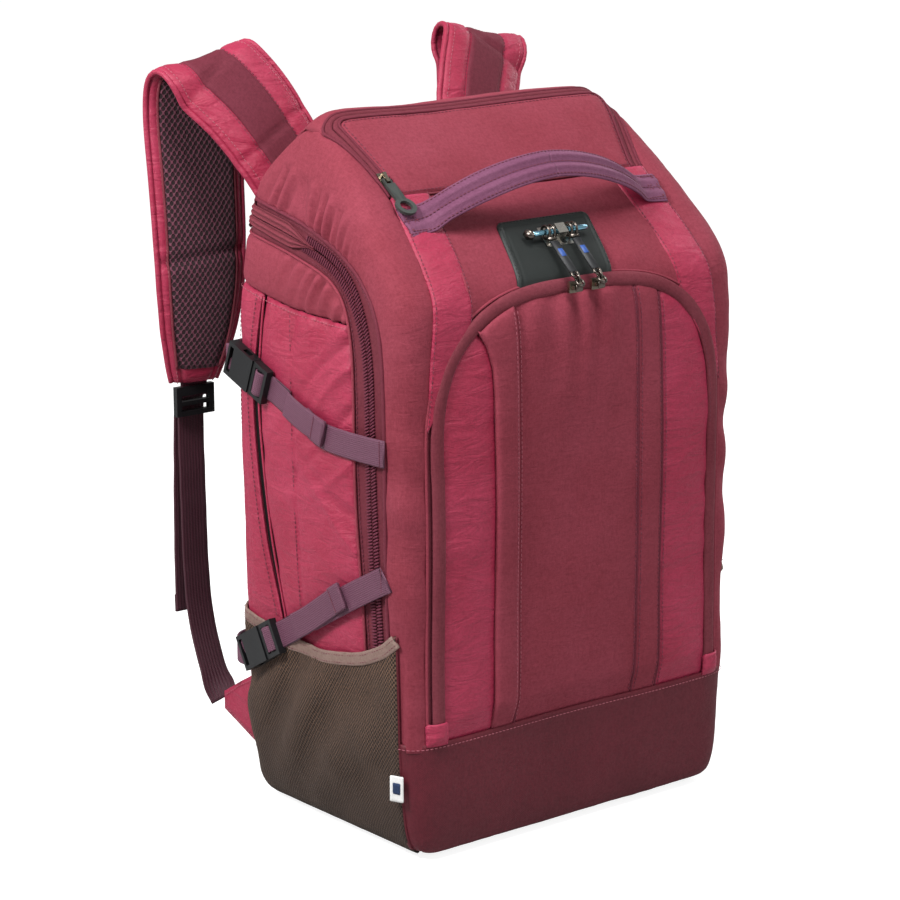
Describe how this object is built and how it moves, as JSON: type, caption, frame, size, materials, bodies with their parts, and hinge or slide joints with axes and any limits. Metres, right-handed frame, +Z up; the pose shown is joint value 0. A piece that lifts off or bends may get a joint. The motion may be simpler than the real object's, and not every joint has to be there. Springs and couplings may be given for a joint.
{
  "type": "travel backpack",
  "caption": "Clamshell travel backpack with zipped front pocket, top pocket with lockable pulls, carry handle, side mesh pockets, compression straps and padded shoulder straps.",
  "frame": {"origin": "middle of the flat base, on the ground plane", "axes": "+Z up, +Y towards the wearer's back, +X to the right seen from the front"},
  "size_m": [0.3658, 0.3261, 0.6004],
  "materials": {
    "shell_burgundy": "matte woven polyester",
    "panel_crimson": "satin woven nylon",
    "boot_wine": "coated ballistic weave",
    "mesh_brown": "open knit mesh",
    "binding_taupe": "folded elastic binding",
    "webbing_mauve": "woven webbing",
    "webbing_plum": "woven webbing",
    "air_mesh": "spacer mesh",
    "lining": "smooth woven lining",
    "patch_black": "embossed coated fabric",
    "zip_coil": "satin nylon coil",
    "buckle_black": "satin acetal",
    "frame_plastic": "textured sheet",
    "slider_metal": "polished plate",
    "saddle_metal": "polished",
    "bolt_blue": "anodised",
    "pull_rubber": "satin moulded",
    "cord_black": "satin moulded",
    "tag_white": "woven label"
  },
  "bodies": {
    "pack": {"base_boot": "boot_wine", "back_panel": "shell_burgundy", "side_panel_left": "panel_crimson", "side_panel_right": "panel_crimson", "main_zip_tub_side": "zip_coil", "frame_sheet": "frame_plastic", "laptop_sleeve": "lining", "back_pads": "air_mesh", "lumbar_pad": "air_mesh", "strap_yoke": "boot_wine", "mesh_pocket_left": "mesh_brown", "mesh_pocket_right": "mesh_brown", "mesh_pocket_bindings": "binding_taupe", "compression_anchors": "webbing_plum", "buckle_sockets_left": "buckle_black", "buckle_sockets_right": "buckle_black", "strap_wing_left": "panel_crimson", "strap_wing_right": "panel_crimson", "lower_webbing_left": "webbing_plum", "lower_webbing_right": "webbing_plum", "side_tag": "tag_white"},
    "lid": {"lid_hip_left": "shell_burgundy", "lid_hip_right": "shell_burgundy", "lid_slope_panel": "shell_burgundy", "lid_rear_panel": "shell_burgundy", "lid_divider": "lining", "main_zip_lid_side": "zip_coil", "pocket_zip_lid_side": "zip_coil", "pocket_zip_garages": "panel_crimson", "pocket_sliders": "slider_metal", "lock_patch": "patch_black", "lock_saddle": "saddle_metal", "top_zip": "zip_coil", "top_pocket_liner": "lining", "handle_end_tabs": "webbing_mauve", "compression_straps_left": "webbing_plum", "compression_straps_right": "webbing_plum", "pocket_pull_left": "cord_black", "pocket_pull_right": "cord_black"},
    "pocket_flap": {"pocket_flap": "panel_crimson", "pocket_centre_panel": "shell_burgundy", "pocket_zip_flap_side": "zip_coil"},
    "top_flap": {"top_flap": "shell_burgundy"},
    "top_slider": {"top_slider": "slider_metal"},
    "top_pull": {"top_pull": "pull_rubber"},
    "carry_handle": {"handle_band": "webbing_mauve"},
    "lock_bolt": {"lock_bolt": "bolt_blue"},
    "main_slider_left": {"main_slider_left": "slider_metal"},
    "main_slider_right": {"main_slider_right": "slider_metal"},
    "main_pull_left": {"main_pull_left": "pull_rubber"},
    "main_pull_right": {"main_pull_right": "pull_rubber"},
    "plug_upper_left": {"buckle_plug_upper_left": "buckle_black"},
    "plug_lower_left": {"buckle_plug_lower_left": "buckle_black"},
    "plug_upper_right": {"buckle_plug_upper_right": "buckle_black"},
    "plug_lower_right": {"buckle_plug_lower_right": "buckle_black"},
    "shoulder_left": {"shoulder_pad_left": "panel_crimson"},
    "shoulder_right": {"shoulder_pad_right": "panel_crimson"},
    "ladder_left": {"ladder_lock_left": "buckle_black"},
    "ladder_right": {"ladder_lock_right": "buckle_black"}
  },
  "joints": [
    {"name": "lid_hinge", "type": "hinge", "parent": "pack", "child": "lid", "pos_m": [0, -0.108, 0.0905], "axis": [1, 0, 0], "range_deg": [0, 98]},
    {"name": "pocket_flap_hinge", "type": "hinge", "parent": "lid", "child": "pocket_flap", "pos_m": [0, -0.114, 0.093], "axis": [1, 0, 0], "range_deg": [0, 26]},
    {"name": "top_flap_hinge", "type": "hinge", "parent": "lid", "child": "top_flap", "pos_m": [0, -0.03663, 0.49061], "axis": [1, 0, 0], "range_deg": [0, 80]},
    {"name": "top_slider_slide", "type": "slide", "parent": "lid", "child": "top_slider", "axis": [0, 0.7209, 0.693], "range_m": [0, 0.05]},
    {"name": "top_pull_hinge", "type": "hinge", "parent": "top_slider", "child": "top_pull", "pos_m": [-0.1213, -0.02822, 0.50466], "axis": [-1, 0, 0], "range_deg": [0, 60]},
    {"name": "handle_hinge", "type": "hinge", "parent": "lid", "child": "carry_handle", "pos_m": [0, -0.05398, 0.48197], "axis": [1, 0, 0], "range_deg": [0, 38]},
    {"name": "lock_bolt_slide", "type": "slide", "parent": "lid", "child": "lock_bolt", "axis": [-1, 0, 0], "range_m": [0, 0.018]},
    {"name": "main_slider_left_slide", "type": "slide", "parent": "pack", "child": "main_slider_left", "axis": [-1, 0, 0], "range_m": [0, 0.03]},
    {"name": "main_slider_right_slide", "type": "slide", "parent": "pack", "child": "main_slider_right", "axis": [1, 0, 0], "range_m": [0, 0.03]},
    {"name": "main_pull_left_hinge", "type": "hinge", "parent": "main_slider_left", "child": "main_pull_left", "pos_m": [-0.009, 0.1115, 0.4775], "axis": [1, 0, 0], "range_deg": [0, 55]},
    {"name": "main_pull_right_hinge", "type": "hinge", "parent": "main_slider_right", "child": "main_pull_right", "pos_m": [0.009, 0.1115, 0.4775], "axis": [1, 0, 0], "range_deg": [0, 55]},
    {"name": "plug_upper_left_slide", "type": "slide", "parent": "pack", "child": "plug_upper_left", "axis": [0, -0.9349, -0.355], "range_m": [0, 0.022]},
    {"name": "plug_lower_left_slide", "type": "slide", "parent": "pack", "child": "plug_lower_left", "axis": [0, -0.8699, 0.4932], "range_m": [0, 0.022]},
    {"name": "plug_upper_right_slide", "type": "slide", "parent": "pack", "child": "plug_upper_right", "axis": [0, -0.9349, -0.355], "range_m": [0, 0.022]},
    {"name": "plug_lower_right_slide", "type": "slide", "parent": "pack", "child": "plug_lower_right", "axis": [0, -0.8699, 0.4932], "range_m": [0, 0.022]},
    {"name": "shoulder_left_hinge", "type": "hinge", "parent": "pack", "child": "shoulder_left", "pos_m": [0, 0.1145, 0.433], "axis": [1, 0, 0], "range_deg": [-20, 8]},
    {"name": "ladder_left_hinge", "type": "hinge", "parent": "shoulder_left", "child": "ladder_left", "pos_m": [0, 0.193, 0.3155], "axis": [1, 0, 0], "range_deg": [-18, 18]},
    {"name": "shoulder_right_hinge", "type": "hinge", "parent": "pack", "child": "shoulder_right", "pos_m": [0, 0.1145, 0.433], "axis": [1, 0, 0], "range_deg": [-20, 8]},
    {"name": "ladder_right_hinge", "type": "hinge", "parent": "shoulder_right", "child": "ladder_right", "pos_m": [0, 0.193, 0.3155], "axis": [1, 0, 0], "range_deg": [-18, 18]}
  ]
}
